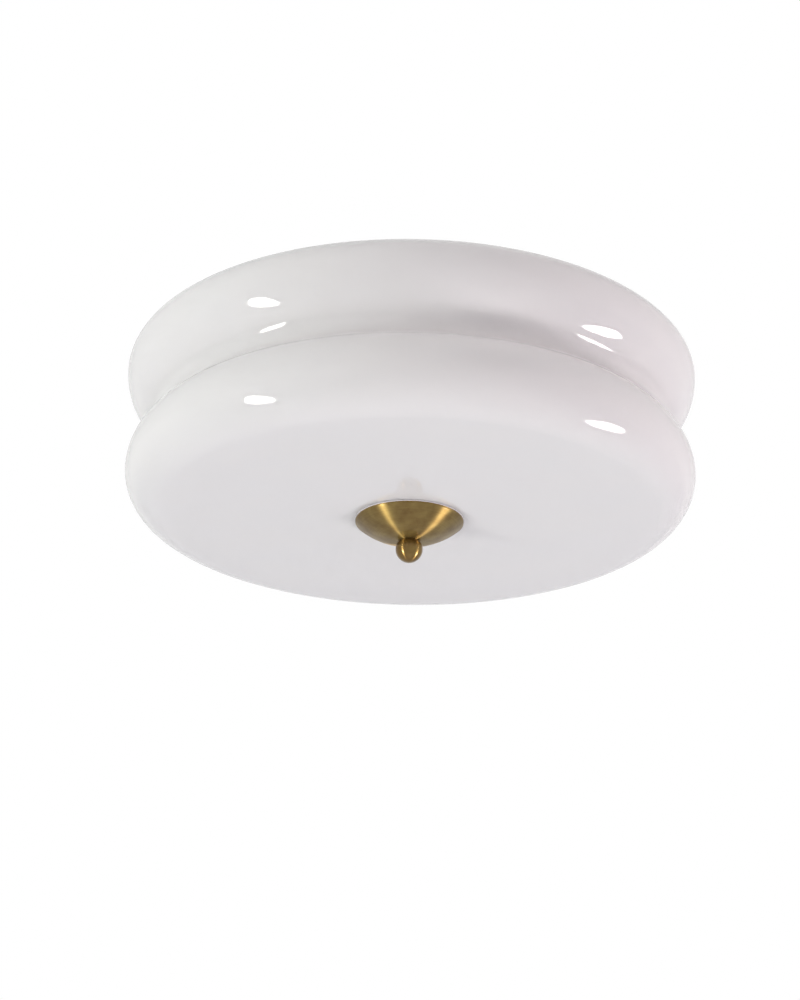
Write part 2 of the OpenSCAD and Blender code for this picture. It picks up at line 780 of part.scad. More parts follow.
// Terminal block with three poles; wires run along y, screws come from below
module terminal_block() {
    pocket_r = terminal_screw_r + 0.8;
    head_r = 2 * block_screw_r;
    color("white") translate([0, block_y, floor_z - block_h]) difference() {
        translate([-block_l / 2, -block_w / 2, 0]) cube([block_l, block_w, block_h]);
        for (pole = [-1:1]) translate([pole * pole_gap, 0, 0]) {
            translate([0, block_w, pole_z - floor_z + block_h]) rotate([90, 0, 0])
                cylinder(r = tube_r + fixed_gap, h = 2 * block_w);
            for (y = [-1, 1]) translate([0, y * terminal_screw_y, -1])
                cylinder(r = pocket_r, h = pole_z - floor_z + block_h + 1);
        }
        for (side = [-1, 1]) translate([side * pole_gap / 2, 0, -1]) {
            cylinder(r = block_screw_r + fixed_gap, h = block_h + 2);
            cylinder(r = head_r, h = block_head_h + 1.3);
            for (y = [-1, 1]) translate([-0.6, y * block_w / 2 - 2, 0]) cube([1.2, 4, block_h - 2]);
        }
    }
}

// Brass tube of each pole
module terminal_tubes() {
    color("gold") for (pole = [-1:1]) translate([pole * pole_gap, block_y, pole_z]) difference() {
        translate([0, tube_l / 2, 0]) rotate([90, 0, 0]) tube(tube_r, tube_bore_r, tube_l);
        for (y = [-1, 1]) translate([0, y * terminal_screw_y, -tube_r - 1])
            cylinder(r = terminal_screw_r + fixed_gap, h = tube_r + 1);
    }
}

// Two clamping screws in each pole
module terminal_screws() {
    tip_z = pole_z - wire_d / 2 - 0.1;
    head_z = floor_z - block_h + 1;
    color("silver") for (pole = [-1:1], y = [-1, 1])
        translate([pole * pole_gap, block_y + y * terminal_screw_y, head_z]) difference() {
            union() {
                cylinder(r = terminal_screw_r, h = tip_z - head_z);
                cylinder(r = terminal_screw_r + 0.5, h = 1.4);
            }
            translate([-2, -0.3, -1]) cube([4, 0.6, 1.6]);
        }
}

// Two screws that fix the block to the pan
module block_screws() {
    seat = floor_z - block_h + block_head_h + 0.3;
    color("silver") for (side = [-1, 1]) translate([side * pole_gap / 2, block_y, seat])
        screw(block_screw_r, floor_top + 2.5 - seat, 1.8 * block_screw_r, block_head_h);
}

// Screw that bonds the earth tag to the pan
module earth_screw() {
    color("silver") translate([earth_pos[0], earth_pos[1], floor_z - tag_t])
        screw(earth_screw_r, tag_t + pan_wall + 5, 1.9 * earth_screw_r, 2.4);
}

module earth_nut() {
    h = 3.2;
    color("silver") translate([earth_pos[0], earth_pos[1], floor_top]) difference() {
        hexagon(7, h);
        translate([0, 0, -1]) cylinder(r = earth_screw_r + thread_gap, h = h + 2);
    }
}

// Ring tag under the earth screw, with a barrel crimped on the earth wire
module earth_tag() {
    ring_r = 4.4;
    barrel_z = -tag_barrel_r - 0.1;
    color("gainsboro") translate([earth_pos[0], earth_pos[1], floor_z]) difference() {
        union() {
            translate([0, 0, -tag_t]) cylinder(r = ring_r, h = tag_t);
            translate([-1.5, 0, -tag_t]) cube([3, tag_barrel_y[0] + 1, tag_t]);
            translate([0, tag_barrel_y[1], barrel_z]) rotate([90, 0, 0])
                cylinder(r = tag_barrel_r, h = tag_barrel_y[1] - tag_barrel_y[0]);
        }
        translate([0, 0, -tag_t - 1]) cylinder(r = earth_screw_r + fixed_gap, h = tag_t + 2);
        translate([0, tag_barrel_y[1] + 1, barrel_z]) rotate([90, 0, 0])
            cylinder(r = wire_d / 2 + fixed_gap, h = tag_barrel_y[1] - tag_barrel_y[0]);
    }
}

// Rubber grommet where the mains cable comes through the pan
module cable_grommet() {
    seat_r = grommet_seat_d / 2;
    color("#333333") translate([0, -grommet_r, 0]) difference() {
        union() {
            translate([0, 0, floor_z - grommet_lip]) cylinder(r = seat_r + grommet_flange, h = grommet_lip);
            translate([0, 0, floor_z]) cylinder(r = seat_r - fixed_gap, h = pan_wall);
            translate([0, 0, floor_top]) cylinder(r1 = seat_r + grommet_flange, r2 = seat_r, h = grommet_lip);
        }
        translate([0, 0, floor_z - grommet_lip - 1])
            cylinder(r = grommet_bore_d / 2, h = pan_wall + 2 * grommet_lip + 2);
    }
}

module live_wires() {
    color("sienna") for (route = live_routes) tube_along(route, wire_d / 2);
}

module neutral_wires() {
    color("royalblue") for (route = neutral_routes) tube_along(route, wire_d / 2);
}

module earth_wire() {
    color("yellowgreen") tube_along(earth_route, wire_d / 2);
}

ceiling_pan();
pan_gasket();
mounting_bar();
bar_studs();
stud_nuts();
centre_rod();
rod_nuts();
rod_washers();
shade();
shade_bush();
cap_seal();
finial_cap();
finial_knob();
for (i = [0:2]) bracket(i);
bracket_rivets();
holder_screws();
for (i = [0:2]) lampholder(i);
for (i = [0:2]) holder_sleeve(i);
for (i = [0:2]) holder_contact(i);
for (i = [0:2]) bulb(i);
for (i = [0:2]) bulb_cap(i);
for (i = [0:2]) bulb_insulator(i);
for (i = [0:2]) bulb_contact(i);
terminal_block();
terminal_tubes();
terminal_screws();
block_screws();
earth_screw();
earth_nut();
earth_tag();
cable_grommet();
live_wires();
neutral_wires();
earth_wire();
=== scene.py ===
import bpy
import math
from mathutils import Matrix, Vector


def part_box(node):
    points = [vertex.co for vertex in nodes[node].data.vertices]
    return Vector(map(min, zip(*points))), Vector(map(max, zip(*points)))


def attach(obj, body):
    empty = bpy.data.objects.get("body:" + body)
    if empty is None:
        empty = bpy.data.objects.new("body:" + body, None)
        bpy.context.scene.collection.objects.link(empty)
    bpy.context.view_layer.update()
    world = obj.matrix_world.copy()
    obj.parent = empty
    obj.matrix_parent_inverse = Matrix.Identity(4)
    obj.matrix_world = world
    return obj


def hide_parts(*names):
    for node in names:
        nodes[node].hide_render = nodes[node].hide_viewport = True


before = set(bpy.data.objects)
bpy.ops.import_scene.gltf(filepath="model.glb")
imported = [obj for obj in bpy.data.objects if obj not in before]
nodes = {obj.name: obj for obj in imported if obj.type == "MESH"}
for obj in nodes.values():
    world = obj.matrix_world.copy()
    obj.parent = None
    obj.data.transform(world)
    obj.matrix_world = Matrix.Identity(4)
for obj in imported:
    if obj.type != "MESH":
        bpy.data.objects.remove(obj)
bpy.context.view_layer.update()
mm = 0.001
print("frame loaded:", len(nodes), "nodes")


# helpers: colours, shader nodes, selections, lathe work

def srgb(hexText):
    # a web colour turned to the linear values that shaders take
    channels = [int(hexText[i:i + 2], 16) / 255 for i in (0, 2, 4)]
    linear = [c / 12.92 if c <= 0.04045 else ((c + 0.055) / 1.055) ** 2.4 for c in channels]
    return (*linear, 1.0)


def addNode(tree, kind, values=None, links=None, **settings):
    node = tree.nodes.new(kind)
    for key, value in settings.items():
        setattr(node, key, value)
    for socket, value in (values or {}).items():
        node.inputs[socket].default_value = value
    for socket, source in (links or {}).items():
        tree.links.new(source, node.inputs[socket])
    return node


evenly = (1.0, 1.0, 1.0)  # light of every colour goes equally far under the surface


def newMaterial(name, surface):
    # an empty material with one Principled shader, set from a dictionary
    material = bpy.data.materials.new(name)
    material.use_nodes = True
    tree = material.node_tree
    tree.nodes.clear()
    shader = addNode(tree, "ShaderNodeBsdfPrincipled", values=surface)
    addNode(tree, "ShaderNodeOutputMaterial", links={"Surface": shader.outputs["BSDF"]})
    place = addNode(tree, "ShaderNodeTexCoord").outputs["Object"]
    return material, tree, shader, place


def noise(tree, place, sizeMm, detail=2.0, roughness=0.5, stretch=None):
    # noise whose blobs are about sizeMm across; stretch scales the pattern along X, Y and Z
    if stretch:
        mapping = addNode(tree, "ShaderNodeMapping", values={"Scale": stretch}, links={"Vector": place})
        place = mapping.outputs["Vector"]
    values = {"Scale": 1 / (sizeMm * mm), "Detail": detail, "Roughness": roughness}
    return addNode(tree, "ShaderNodeTexNoise", values, {"Vector": place}).outputs["Fac"]


def cellDistance(tree, place, sizeMm):
    # how far a point is from the middle of its cell, for cells about sizeMm across
    cells = addNode(tree, "ShaderNodeTexVoronoi", {"Scale": 1 / (sizeMm * mm)}, {"Vector": place})
    return cells.outputs["Distance"]


def spread(tree, value, low, high, outLow=0.0, outHigh=1.0):
    # value between low and high, turned to the range from outLow to outHigh
    values = {"From Min": low, "From Max": high, "To Min": outLow, "To Max": outHigh}
    return addNode(tree, "ShaderNodeMapRange", values, {"Value": value}).outputs["Result"]


def blendColours(tree, factor, first, second):
    # first is a hex colour or the output of another node
    values, links = {7: srgb(second)}, {0: factor}
    if isinstance(first, str):
        values[6] = srgb(first)
    else:
        links[6] = first
    return addNode(tree, "ShaderNodeMix", values, links, data_type="RGBA").outputs[2]


def colourBy(tree, shader, value, first, second, low=0.3, high=0.7):
    # the colour goes from first to second as value goes from low to high
    mixed = blendColours(tree, spread(tree, value, low, high), first, second)
    tree.links.new(mixed, shader.inputs["Base Color"])


def roughBy(tree, shader, value, smoothest, roughest, low=0.3, high=0.7):
    tree.links.new(spread(tree, value, low, high, smoothest, roughest), shader.inputs["Roughness"])


def relief(tree, shader, height, depthMm, strength):
    # fine unevenness in the shading alone
    raised = addNode(tree, "ShaderNodeBump", links={"Height": height},
                     values={"Strength": strength, "Distance": depthMm * mm})
    tree.links.new(raised.outputs["Normal"], shader.inputs["Normal"])


def objectMode():
    if bpy.context.object and bpy.context.object.mode != "OBJECT":
        bpy.ops.object.mode_set(mode="OBJECT")


def deselect():
    objectMode()
    bpy.ops.object.select_all(action="DESELECT")


def pickOnly(piece):
    # the piece alone is selected and active
    deselect()
    piece.select_set(True)
    bpy.context.view_layer.objects.active = piece


def editElements(piece, kind, action):
    # leaves the piece in edit mode with all or none of its vertices or edges selected
    pickOnly(piece)
    bpy.ops.object.mode_set(mode="EDIT")
    bpy.ops.mesh.select_mode(type=kind)
    bpy.ops.mesh.select_all(action=action)


def pickEdges(piece, test):
    # leaves the piece in edit mode with the edges for which test is true
    editElements(piece, "EDGE", "DESELECT")
    bpy.ops.object.mode_set(mode="OBJECT")
    points = piece.data.vertices
    for edge in piece.data.edges:
        first, second = edge.vertices
        edge.select = test(points[first].co, points[second].co)
    bpy.ops.object.mode_set(mode="EDIT")
    bpy.ops.mesh.select_mode(type="EDGE")


def onRing(radius, height, slack=0.02):
    # a test for the edges that lie on one ring round the Z axis, sizes in mm
    def near(co):
        outwards = math.hypot(co.x, co.y) - radius * mm
        return abs(outwards) < slack * mm and abs(co.z - height * mm) < slack * mm
    return lambda a, b: near(a) and near(b)


def softenRings(piece, rings, width, segments=2):
    tests = [onRing(radius, height) for radius, height in rings]
    pickEdges(piece, lambda a, b: any(test(a, b) for test in tests))
    bpy.ops.mesh.bevel(offset=width * mm, segments=segments, affect="EDGES")
    objectMode()


ringJoin = 0.0005  # mm, the gap below which a closed profile's first and last rings become one
axisRadius = 0.02  # mm, the smallest ring of a profile that reaches the axis; its hole is filled


def lathe(name, profile, steps, closed=False):
    # a ring pulled from point to point along the profile; a closed profile ends where it began
    deselect()
    radius, height = profile[0]
    bpy.ops.mesh.primitive_circle_add(vertices=steps, radius=radius * mm, location=(0, 0, height * mm))
    piece = bpy.context.object
    piece.name = name
    piece.data.name = name
    bpy.ops.object.mode_set(mode="EDIT")
    bpy.ops.mesh.select_all(action="SELECT")
    rest = list(profile[1:]) + ([profile[0]] if closed else [])
    for nextRadius, nextHeight in rest:
        rise = (0, 0, (nextHeight - height) * mm)
        bpy.ops.mesh.extrude_region_move(TRANSFORM_OT_translate={"value": rise})
        scale = nextRadius / radius
        bpy.ops.transform.resize(value=(scale, scale, 1), center_override=(0, 0, nextHeight * mm))
        radius, height = nextRadius, nextHeight
    bpy.ops.mesh.select_all(action="SELECT")
    bpy.ops.mesh.remove_doubles(threshold=ringJoin * mm)
    bpy.ops.mesh.select_all(action="DESELECT")
    bpy.ops.mesh.select_non_manifold()
    bpy.ops.mesh.fill_holes(sides=0)
    bpy.ops.mesh.select_all(action="SELECT")
    bpy.ops.mesh.normals_make_consistent(inside=False)
    bpy.ops.object.mode_set(mode="OBJECT")
    bpy.ops.object.transform_apply(location=True, rotation=True, scale=True)
    return piece


def arc(centre, radius, start, end, steps):
    # points on a circle in the half profile, angles in degrees from the outward direction
    points = []
    for i in range(steps + 1):
        angle = math.radians(start + (end - start) * i / steps)
        points.append((centre[0] + radius * math.cos(angle), centre[1] + radius * math.sin(angle)))
    return points


def shade(piece, angle=35):
    # smooth, but for edges sharper than the angle in degrees
    pickOnly(piece)
    bpy.ops.object.shade_smooth_by_angle(angle=math.radians(angle))


def dress(piece, material):
    piece.data.materials.clear()
    piece.data.materials.append(material)


def seat(piece, matrix):
    # puts a piece that was modelled round the Z axis in its place, with the place in its mesh
    piece.matrix_world = matrix
    pickOnly(piece)
    bpy.ops.object.transform_apply(location=True, rotation=True, scale=True)


def copyOf(piece, name):
    pickOnly(piece)
    bpy.ops.object.duplicate()
    twin = bpy.context.object
    twin.name = name
    twin.data.name = name
    return twin


# camera: in front of the light and below it, looking up
# the underside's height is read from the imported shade
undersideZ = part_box("shade")[0][2]
photoView = {
    "elevation": 22.25,        # how far the view climbs, degrees
    "roll": 0.015,             # radians
    "distance": 1612,          # mm from the middle of the underside
    "frame": (800, 1000),      # px
    "focal": 2300,             # px
    "middle": (409.5, 519.7),  # where the middle of the underside lies, px
    "sensor": 36               # mm, the height
}


def makeCamera(v):
    e = math.radians(v["elevation"])
    ahead = Vector((0, math.cos(e), math.sin(e)))
    level = Vector((1, 0, 0))
    upright = Vector((0, -math.sin(e), math.cos(e)))
    right = math.cos(v["roll"]) * level + math.sin(v["roll"]) * upright
    up = -math.sin(v["roll"]) * level + math.cos(v["roll"]) * upright
    width, height = v["frame"]
    offX = (v["middle"][0] - width / 2) / v["focal"]
    offY = -(v["middle"][1] - height / 2) / v["focal"]
    place = -(ahead + offX * right + offY * up) * v["distance"] * mm + Vector((0, 0, undersideZ))
    lens = bpy.data.cameras.new("studioCamera")
    lens.sensor_fit = "VERTICAL"
    lens.sensor_height = v["sensor"]
    lens.lens = v["focal"] * v["sensor"] / height
    camera = bpy.data.objects.new("studioCamera", lens)
    bpy.context.scene.collection.objects.link(camera)
    turn = Matrix((right, up, -ahead)).transposed().to_4x4()
    camera.matrix_world = Matrix.Translation(place) @ turn
    bpy.context.scene.camera = camera


makeCamera(photoView)
print("camera placed")


# materials, each named for the real one

# opal glass: milk glass, mould blown and fire polished; opaque white, sharp gloss, a faint ripple
opalGlass, tree, shader, place = newMaterial("opal glass, blown", {
    "Roughness": 0.02, "IOR": 1.5, "Subsurface Weight": 1.0, "Subsurface Scale": 0.016,
    "Subsurface Radius": evenly})
cloud = noise(tree, place, 70, detail=3)
colourBy(tree, shader, cloud, "f2f1f2", "f4f2f1")
relief(tree, shader, noise(tree, place, 45, detail=1), 0.15, 0.3)

# brass worked on a lathe and lacquered: fine rings, light streaks across them, brown stains
def latheBrass(name, roughness, grain, light, dark):
    # grain is how strongly the tool marks stretch a highlight across the rings
    material, tree, shader, place = newMaterial(name, {
        "Metallic": 1.0, "Anisotropic": grain, "Anisotropic Rotation": 0.25, "Coat Weight": 0.35,
        "Coat Roughness": 0.1})
    flat = addNode(tree, "ShaderNodeVectorMath", {1: (1, 1, 0)}, {0: place}, operation="MULTIPLY")
    length = addNode(tree, "ShaderNodeVectorMath", links={0: flat.outputs[0]}, operation="LENGTH")
    ringGap = 0.8  # mm, coarser than the real tool marks so that they show
    rings = addNode(tree, "ShaderNodeTexNoise", {"Scale": 1 / (ringGap * mm), "Detail": 2.0},
                    {"W": length.outputs["Value"]}, noise_dimensions="1D").outputs["Fac"]
    stain = noise(tree, place, 9, detail=4)
    base = blendColours(tree, spread(tree, stain, 0.35, 0.7), light, dark)
    tree.links.new(blendColours(tree, spread(tree, rings, 0.45, 0.8, 0, 0.2), base, "6b5230"),
                   shader.inputs["Base Color"])
    roughBy(tree, shader, stain, roughness - 0.02, roughness + 0.02)
    relief(tree, shader, rings, 0.004, 0.2)
    around = addNode(tree, "ShaderNodeTangent", direction_type="RADIAL", axis="Z")
    tree.links.new(around.outputs["Tangent"], shader.inputs["Tangent"])
    return material


spunBrass = latheBrass("brass, spun", 0.42, 1.0, "a78e53", "8d723f")
turnedBrass = latheBrass("brass, turned", 0.3, 0.95, "957b45", "826636")

# stamped brass for the small electrical parts: duller, with a blotchy tarnish
stampedBrass, tree, shader, place = newMaterial("brass, stamped", {"Metallic": 1.0, "Roughness": 0.35})
tarnish = noise(tree, place, 3, detail=3)
colourBy(tree, shader, tarnish, "c9a766", "9a7a44", 0.35, 0.65)
roughBy(tree, shader, tarnish, 0.25, 0.45)

# stoved enamel on pressed steel: an even white skin with a slight orange peel
stovedEnamel, tree, shader, place = newMaterial("enamel, stoved on steel", {"Roughness": 0.28, "IOR": 1.5})
colourBy(tree, shader, noise(tree, place, 60), "e6e5e1", "dfdeda")
relief(tree, shader, noise(tree, place, 1.2), 0.05, 0.25)

# zinc plate on steel: bluish grey, cloudy, with rub marks that run one way
zincPlate, tree, shader, place = newMaterial("steel, zinc plated", {"Metallic": 1.0, "Roughness": 0.36})
bloom = noise(tree, place, 6, detail=4, roughness=0.6)
rub = noise(tree, place, 1.5, stretch=(0.06, 1, 1))
colourBy(tree, shader, bloom, "b4b8bc", "969a9f", 0.35, 0.65)
roughBy(tree, shader, bloom, 0.28, 0.46)
relief(tree, shader, rub, 0.02, 0.3)

# the rod's rolled thread: the same plate, with a ridge every millimetre, raised by a bump; the ridges are
# painted darker in their roots as shade and lighter on their crests as a highlight
threadedSteel, tree, shader, place = newMaterial("steel rod, rolled thread", {
    "Metallic": 1.0, "Roughness": 0.33})
bandsPerMm = 0.31416  # the wave texture's scale for one band a millimetre
bands = {"Scale": bandsPerMm / mm, "Distortion": 0.0}
ridgeShadeAndBump = addNode(tree, "ShaderNodeTexWave", bands, {"Vector": place},
                 wave_type="BANDS", bands_direction="Z").outputs["Fac"]
# painted shade in the thread's roots and a painted highlight on its crests
tree.links.new(blendColours(tree, ridgeShadeAndBump, "7d8084", "b9bcc0"), shader.inputs["Base Color"])
relief(tree, shader, ridgeShadeAndBump, 0.4, 0.9)

# glazed porcelain: cream white body under a clear glaze, with tiny dark specks
glazedPorcelain, tree, shader, place = newMaterial("porcelain, glazed", {
    "Roughness": 0.12, "IOR": 1.5, "Coat Weight": 0.4, "Coat Roughness": 0.05})
speck = cellDistance(tree, place, 3)
body = blendColours(tree, spread(tree, noise(tree, place, 20), 0.3, 0.7), "f0ede4", "e6e1d5")
colourBy(tree, shader, speck, body, "a89f90", 0.05, 0.0)
relief(tree, shader, noise(tree, place, 8), 0.1, 0.2)

# nylon 66, moulded: off-white, waxy, with a fine spark texture
mouldedNylon, tree, shader, place = newMaterial("nylon, moulded", {
    "Roughness": 0.42, "IOR": 1.53, "Subsurface Weight": 0.1, "Subsurface Scale": 0.002,
    "Subsurface Radius": evenly})
colourBy(tree, shader, noise(tree, place, 5), "e9e7df", "dfdcd2")
relief(tree, shader, noise(tree, place, 0.35), 0.03, 0.4)

# silicone rubber, cut from milky sheet: pale, softly lit through
milkySilicone, tree, shader, place = newMaterial("silicone rubber, milky", {
    "Roughness": 0.3, "IOR": 1.41, "Subsurface Weight": 0.6, "Subsurface Scale": 0.004,
    "Subsurface Radius": evenly})
colourBy(tree, shader, noise(tree, place, 2), "fbf5f8", "f4eef2")

# closed-cell foam: dark grey, dull, pitted with cut bubbles just under a millimetre wide; the pits are
# painted darker as shade
cellFoam, tree, shader, place = newMaterial("foam rubber, closed cell", {"Roughness": 0.85, "IOR": 1.4})
cells = cellDistance(tree, place, 0.8)
# darker in each bubble's pit: painted shade
colourBy(tree, shader, cells, "202122", "35373a", 0.1, 0.7)
relief(tree, shader, cells, 0.3, 0.8)

# moulded rubber for the grommet: black, soft sheen, grey bloom
mouldedRubber, tree, shader, place = newMaterial("rubber, moulded", {"Roughness": 0.55, "IOR": 1.5})
colourBy(tree, shader, noise(tree, place, 4, detail=4), "171717", "2a2a2b", 0.45, 0.75)
relief(tree, shader, noise(tree, place, 0.5), 0.03, 0.5)

# bulb glass with a white powder inside: even white, soft gloss
powderedGlass, tree, shader, place = newMaterial("bulb glass, powder coated inside", {
    "Roughness": 0.1, "IOR": 1.5, "Subsurface Weight": 0.3, "Subsurface Scale": 0.004,
    "Subsurface Radius": evenly})
colourBy(tree, shader, noise(tree, place, 25), "f0f0ee", "e8e8e4")

# aluminium sheet, rolled: the bulb's screw cap, bright with a dull grain round the turns
rolledAluminium, tree, shader, place = newMaterial("aluminium, rolled", {"Metallic": 1.0, "Roughness": 0.3})
grain = noise(tree, place, 2.5, detail=4)
colourBy(tree, shader, grain, "c8c9ca", "adafb1")
roughBy(tree, shader, grain, 0.22, 0.4)

# pressed black glass between the cap and the contact
blackGlass, tree, shader, place = newMaterial("glass, pressed black", {"Roughness": 0.08, "IOR": 1.55})
colourBy(tree, shader, noise(tree, place, 3), "0d0d10", "1d1d22", 0.4, 0.7)
relief(tree, shader, noise(tree, place, 2), 0.1, 0.3)

# tin solder, set from liquid: grey, softly lumpy
tinSolder, tree, shader, place = newMaterial("solder, tin", {"Metallic": 1.0, "Roughness": 0.38})
lump = noise(tree, place, 1.5)
colourBy(tree, shader, lump, "a9a9aa", "8b8b8d")
relief(tree, shader, lump, 0.2, 0.5)


def insulation(name, first, second):
    # PVC, extruded on wire: even colour, soft gloss, slight lengthwise unevenness
    material, tree, shader, place = newMaterial(name, {"Roughness": 0.38, "IOR": 1.53})
    colourBy(tree, shader, noise(tree, place, 6), first, second)
    relief(tree, shader, noise(tree, place, 1.0), 0.03, 0.3)
    return material


brownInsulation = insulation("PVC, brown", "6b3a1e", "5c3018")
blueInsulation = insulation("PVC, blue", "2f62b8", "2855a4")
greenInsulation = insulation("PVC, green and yellow", "3d8c3a", "d8c92c")
print("materials made")


# the opal shade: two tiers and a waist, turned in one profile with its inner wall
glass = {
    "lowerR": 200, "upperR": 202, "cornerR": 27, "lowerArcR": 33, "waistR": 11, "upperArcR": 34,
    "shoulderR": 19, "upperLine": 101, "crownSlope": 6, "wall": 3.5, "openingR": 158, "land": 3,
    "holeR": 6.7, "floorRings": (30, 90, 140), "steps": 256, "arcSteps": 14, "rimSoftness": 0.8}


def glassLine(g, t):
    # one wall of the glass, t mm inside the outer surface, from the hole out and up to the opening
    # the waist's centre lies where circles round the two arcs' centres, low and high, cross
    corner = (g["lowerR"] - g["cornerR"], g["cornerR"])
    lower = (g["lowerR"] - g["lowerArcR"], g["cornerR"])
    upper = (g["upperR"] - g["upperArcR"], g["upperLine"])
    shoulder = (g["upperR"] - g["shoulderR"], g["upperLine"])
    low, high = g["lowerArcR"] + g["waistR"], g["upperArcR"] + g["waistR"]
    dx, dz = upper[0] - lower[0], upper[1] - lower[1]
    gap = math.hypot(dx, dz)
    along = (low ** 2 - high ** 2 + gap ** 2) / (2 * gap)
    aside = math.sqrt(low ** 2 - along ** 2)
    waist = (lower[0] + (along * dx + aside * dz) / gap, lower[1] + (along * dz - aside * dx) / gap)
    lowAngle = math.degrees(math.atan2(waist[1] - lower[1], waist[0] - lower[0]))
    highAngle = math.degrees(math.atan2(waist[1] - upper[1], waist[0] - upper[0]))
    n = g["arcSteps"]
    line = [(radius, t) for radius in (g["holeR"], *g["floorRings"])]
    line += arc(corner, g["cornerR"] - t, -90, 0, n)
    line += arc(lower, g["lowerArcR"] - t, 0, lowAngle, n)[1:]
    line += arc(waist, g["waistR"] + t, lowAngle + 180, highAngle + 180, n)[1:]
    line += arc(upper, g["upperArcR"] - t, highAngle, 0, n)[1:]
    line += arc(shoulder, g["shoulderR"] - t, 0, 90 - g["crownSlope"], n)[1:]
    slope = math.tan(math.radians(g["crownSlope"]))
    lastR, lastZ = line[-1]
    if t > 0:
        return line + [(g["openingR"], lastZ + (lastR - g["openingR"]) * slope)]
    groundR = g["openingR"] + g["land"]
    groundZ = lastZ + (lastR - groundR) * slope
    return line + [(groundR, groundZ), (g["openingR"], groundZ)]


def makeShade(g):
    outside, inside = glassLine(g, 0), glassLine(g, g["wall"])
    floorZ = undersideZ / mm
    profile = [(r, z + floorZ) for r, z in outside + inside[::-1]]
    piece = lathe("opalShade", profile, g["steps"], closed=True)
    rim = [outside[-1], outside[-2], inside[-1]]
    softenRings(piece, [(r, z + floorZ) for r, z in rim], g["rimSoftness"], 2)
    shade(piece)
    dress(piece, opalGlass)
    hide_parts("shade")
    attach(piece, "glass")


makeShade(glass)
print("shade turned")


# the finial: spun cap, ball knob and the milky seal between cap and glass
capSizes = {
    "rimR": 38, "domeR": 57.5, "lip": 1.5, "wall": 1.2, "seatR": 7.2, "boreR": 5.25,
    "belowGlass": 1.0, "steps": 160, "arcSteps": 30, "edge": 0.35}
knobSizes = {
    "ballR": 9.5, "ballDrop": 5.9, "neckR": 7.3, "neckH": 1.0, "seatGap": 0.1, "boreR": 5.08,
    "boreDepth": 11.6, "fillet": 0.5, "edge": 0.3, "lowest": -89, "sharp": 50, "steps": 96, "arcSteps": 26}
sealSizes = {"outerR": 37.9, "width": 3.4, "thickness": 0.7, "edge": 0.15, "steps": 128}

capZ = undersideZ / mm - capSizes["belowGlass"]
# how far the dome's centre is above the rings of the rim and of the seat
rimAbove = math.sqrt(capSizes["domeR"] ** 2 - capSizes["rimR"] ** 2)
seatAbove = math.sqrt(capSizes["domeR"] ** 2 - capSizes["seatR"] ** 2)
capDepth = capSizes["lip"] + seatAbove - rimAbove
seatZ = capZ - capDepth


def makeCap(c):
    centre = (0, rimAbove - c["lip"])
    innerR = c["domeR"] - c["wall"]
    lowOut = math.degrees(math.asin(-(capDepth + centre[1]) / c["domeR"]))
    topOut = math.degrees(math.asin(-(c["lip"] + centre[1]) / c["domeR"]))
    lowIn = math.degrees(math.asin(-(capDepth - c["wall"] + centre[1]) / innerR))
    topIn = -math.degrees(math.acos((c["rimR"] - c["wall"]) / innerR))
    line = [(c["boreR"], -capDepth)]
    line += arc(centre, c["domeR"], lowOut, topOut, c["arcSteps"])
    line += [(c["rimR"], 0), (c["rimR"] - c["wall"], 0)]
    line += arc(centre, innerR, topIn, lowIn, c["arcSteps"])
    line += [(c["boreR"], -capDepth + c["wall"])]
    piece = lathe("brassCap", [(r, z + capZ) for r, z in line], c["steps"], closed=True)
    softenRings(piece, [(c["rimR"], capZ), (c["rimR"], capZ - c["lip"])], c["edge"], 3)
    shade(piece)
    dress(piece, spunBrass)
    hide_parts("finial_cap")
    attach(piece, "cap")


def makeKnob(k):
    top = seatZ - k["seatGap"]
    ballZ = seatZ - k["ballDrop"]
    waistZ = top - k["neckH"]
    meet = math.degrees(math.asin((waistZ - ballZ) / k["ballR"]))
    line = [(axisRadius, ballZ - k["ballR"])]
    line += arc((0, ballZ), k["ballR"], k["lowest"], meet, k["arcSteps"])
    line += [(k["neckR"], waistZ), (k["neckR"], top), (k["boreR"], top)]
    line += [(k["boreR"], top - k["boreDepth"]), (axisRadius, top - k["boreDepth"])]
    piece = lathe("brassKnob", line, k["steps"])
    softenRings(piece, [(k["neckR"], waistZ)], k["fillet"], 4)
    softenRings(piece, [(k["ballR"] * math.cos(math.radians(meet)), waistZ)], k["edge"], 3)
    softenRings(piece, [(k["neckR"], top)], k["edge"], 2)
    shade(piece, k["sharp"])
    dress(piece, turnedBrass)
    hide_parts("finial_knob")
    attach(piece, "knob")


def makeSeal(s):
    inner = s["outerR"] - s["width"]
    line = [(inner, 0), (s["outerR"], 0), (s["outerR"], s["thickness"]), (inner, s["thickness"])]
    piece = lathe("capSeal", [(r, z + capZ) for r, z in line], s["steps"], closed=True)
    softenRings(piece, [(s["outerR"], capZ), (s["outerR"], capZ + s["thickness"])], s["edge"], 2)
    shade(piece)
    dress(piece, milkySilicone)
    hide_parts("cap_seal")
    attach(piece, "cap")


makeCap(capSizes)
makeKnob(knobSizes)
makeSeal(sealSizes)
print("finial turned")


# the lampholders: porcelain turned round each lamp's axis, with an open socket
holderSizes = {
    "baseR": 19, "barrelR": 20.5, "length": 44, "floor": 16, "flare": 1, "socketR": 14.35, "edge": 1.5,
    "round": 0.6, "sharp": 40, "steps": 96}
holderLow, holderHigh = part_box("lampholder_1")


def lampPlace(number):
    # lays a piece's Z axis along a lamp, from the lampholder's back outwards
    turn = Matrix.Rotation(math.radians(120 * number - 30), 4, "Z")
    back = Matrix.Translation((holderLow[1], 0, (holderLow[2] + holderHigh[2]) / 2))
    return turn @ back @ Matrix.Rotation(math.radians(90), 4, "Y")


